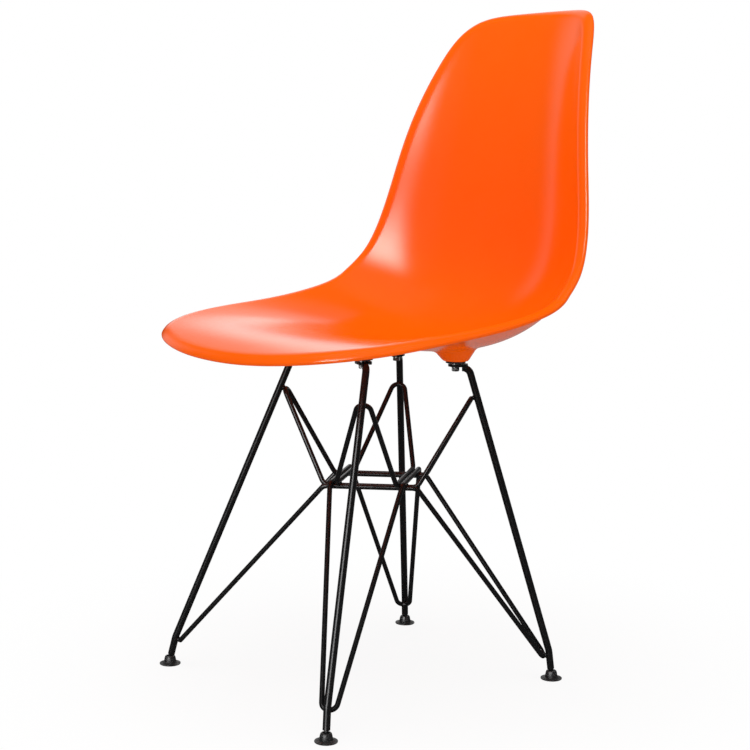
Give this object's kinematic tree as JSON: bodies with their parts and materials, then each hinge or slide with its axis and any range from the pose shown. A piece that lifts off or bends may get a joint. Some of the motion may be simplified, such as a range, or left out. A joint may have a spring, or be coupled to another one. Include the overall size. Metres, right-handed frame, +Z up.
{
  "type": "shell chair",
  "caption": "Side chair: a one-piece moulded plastic shell seat bolted to a base of bent and welded black steel rod with tilting plastic glides.",
  "frame": {"origin": "on the floor, under the middle of the chair's overall width and depth", "axes": "+Z up; the sitter faces -Y; +X is the sitter's left; metres"},
  "size_m": [0.4444, 0.505, 0.8154],
  "materials": {
    "shell_plastic": "satin, through-coloured orange",
    "black_coat": "satin black powder coat",
    "zinc_steel": "bright zinc plate",
    "insert_steel": "yellow zinc plate",
    "rubber": "matt black",
    "glide_plastic": "satin black"
  },
  "bodies": {
    "chair": {"seat_shell": "shell_plastic", "lower_loop_right_front": "black_coat", "lower_loop_left_front": "black_coat", "upper_loop_right_front": "black_coat", "upper_loop_left_front": "black_coat", "front_left_insert": "insert_steel", "front_left_rubber_washer": "rubber", "front_left_spacer": "zinc_steel", "front_left_plate": "black_coat", "front_left_washer": "zinc_steel", "front_left_spring_washer": "zinc_steel", "front_left_bolt": "zinc_steel", "front_left_leg": "black_coat", "front_left_ball_stud": "black_coat", "front_right_insert": "insert_steel", "front_right_rubber_washer": "rubber", "front_right_spacer": "zinc_steel", "front_right_plate": "black_coat", "front_right_washer": "zinc_steel", "front_right_spring_washer": "zinc_steel", "front_right_bolt": "zinc_steel", "front_right_leg": "black_coat", "front_right_ball_stud": "black_coat", "rear_left_insert": "insert_steel", "rear_left_rubber_washer": "rubber", "rear_left_spacer": "zinc_steel", "rear_left_plate": "black_coat", "rear_left_washer": "zinc_steel", "rear_left_spring_washer": "zinc_steel", "rear_left_bolt": "zinc_steel", "rear_left_leg": "black_coat", "rear_left_ball_stud": "black_coat", "rear_right_insert": "insert_steel", "rear_right_rubber_washer": "rubber", "rear_right_spacer": "zinc_steel", "rear_right_plate": "black_coat", "rear_right_washer": "zinc_steel", "rear_right_spring_washer": "zinc_steel", "rear_right_bolt": "zinc_steel", "rear_right_leg": "black_coat", "rear_right_ball_stud": "black_coat"},
    "front_left_foot": {"front_left_glide": "glide_plastic"},
    "front_right_foot": {"front_right_glide": "glide_plastic"},
    "rear_left_foot": {"rear_left_glide": "glide_plastic"},
    "rear_right_foot": {"rear_right_glide": "glide_plastic"}
  },
  "joints": [
    {"name": "front_left_glide_tilt", "type": "hinge", "parent": "chair", "child": "front_left_foot", "pos_m": [0.1694, -0.2045, 0.0062], "axis": [0.6858, 0.7278, 0], "range_deg": [-8, 8]},
    {"name": "front_right_glide_tilt", "type": "hinge", "parent": "chair", "child": "front_right_foot", "pos_m": [-0.1694, -0.2045, 0.0062], "axis": [0.6858, -0.7278, 0], "range_deg": [-8, 8]},
    {"name": "rear_left_glide_tilt", "type": "hinge", "parent": "chair", "child": "rear_left_foot", "pos_m": [0.1464, 0.1491, 0.0062], "axis": [-0.7459, 0.666, 0], "range_deg": [-8, 8]},
    {"name": "rear_right_glide_tilt", "type": "hinge", "parent": "chair", "child": "rear_right_foot", "pos_m": [-0.1464, 0.1491, 0.0062], "axis": [-0.7459, -0.666, 0], "range_deg": [-8, 8]}
  ]
}
